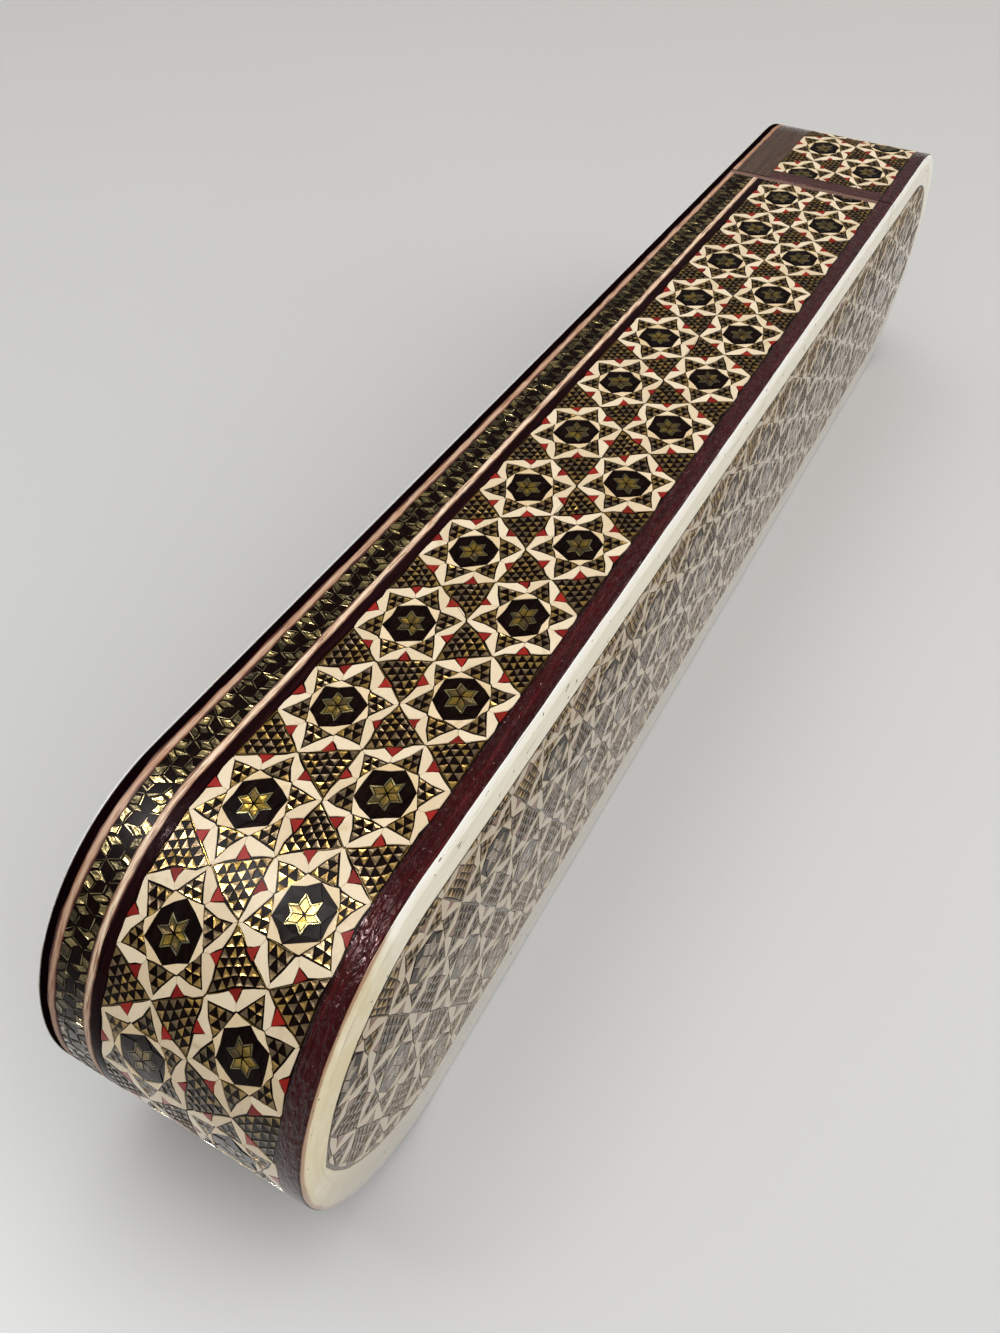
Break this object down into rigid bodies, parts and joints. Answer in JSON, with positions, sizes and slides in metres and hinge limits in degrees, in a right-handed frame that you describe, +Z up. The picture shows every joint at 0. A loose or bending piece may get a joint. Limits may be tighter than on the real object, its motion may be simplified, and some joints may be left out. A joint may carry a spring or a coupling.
{
  "type": "pencil box",
  "caption": "Pencil box with round ends: a tray with a solid head slides endwise out of a closed sleeve, both dressed in strips and panels of star marquetry.",
  "frame": {"origin": "under the middle of the box, on the surface that its lower long side wall stands on", "axes": "+Z up, +Y along the length towards the drawer's head, +X through the thickness towards the side that the tray opens to"},
  "size_m": [0.0294, 0.21, 0.0428],
  "materials": {
    "core_wood": "bare planed hardwood",
    "tray_wood": "satin varnished hardwood",
    "star_inlay": "star marquetry of wood, bone and brass under gloss lacquer",
    "flower_inlay": "small brass flowers on black wood under gloss lacquer",
    "bone": "polished bone under gloss lacquer",
    "pink_wood": "pale pink wood line under gloss lacquer",
    "maroon_lacquer": "streaky maroon gloss lacquer",
    "plum_lacquer": "dark plum gloss lacquer",
    "black_wood": "black gloss lacquer"
  },
  "bodies": {
    "sleeve": {"sleeve_upper_wall": "core_wood", "sleeve_lower_wall": "core_wood", "sleeve_round_end": "core_wood", "sleeve_left_plate": "core_wood", "sleeve_right_plate": "core_wood", "sleeve_dark_line": "black_wood", "sleeve_outer_pink_line": "pink_wood", "sleeve_flower_band": "flower_inlay", "sleeve_inner_pink_line": "pink_wood", "sleeve_plum_band": "plum_lacquer", "sleeve_star_band": "star_inlay", "sleeve_maroon_band": "maroon_lacquer", "sleeve_mouth_line_upper": "pink_wood", "sleeve_mouth_line_lower": "pink_wood", "sleeve_left_bone_edging": "bone", "sleeve_left_star_panel": "star_inlay", "sleeve_right_bone_edging": "bone", "sleeve_right_star_panel": "star_inlay"},
    "drawer": {"tray_floor": "tray_wood", "tray_round_end": "tray_wood", "tray_upper_wall": "tray_wood", "tray_lower_wall": "tray_wood", "head_upper_wall": "core_wood", "head_lower_wall": "core_wood", "head_end_block": "core_wood", "head_left_plate": "core_wood", "head_right_plate": "core_wood", "head_dark_line": "black_wood", "head_pink_line": "pink_wood", "head_brown_band": "plum_lacquer", "head_star_band": "star_inlay", "head_maroon_band": "maroon_lacquer", "head_seam_band_upper": "maroon_lacquer", "head_seam_band_lower": "maroon_lacquer", "head_left_bone_edging": "bone", "head_left_star_panel": "star_inlay", "head_right_bone_edging": "bone", "head_right_star_panel": "star_inlay"}
  },
  "joints": [
    {"name": "drawer_slide", "type": "slide", "parent": "sleeve", "child": "drawer", "axis": [0, 1, 0], "range_m": [0, 0.17]}
  ]
}
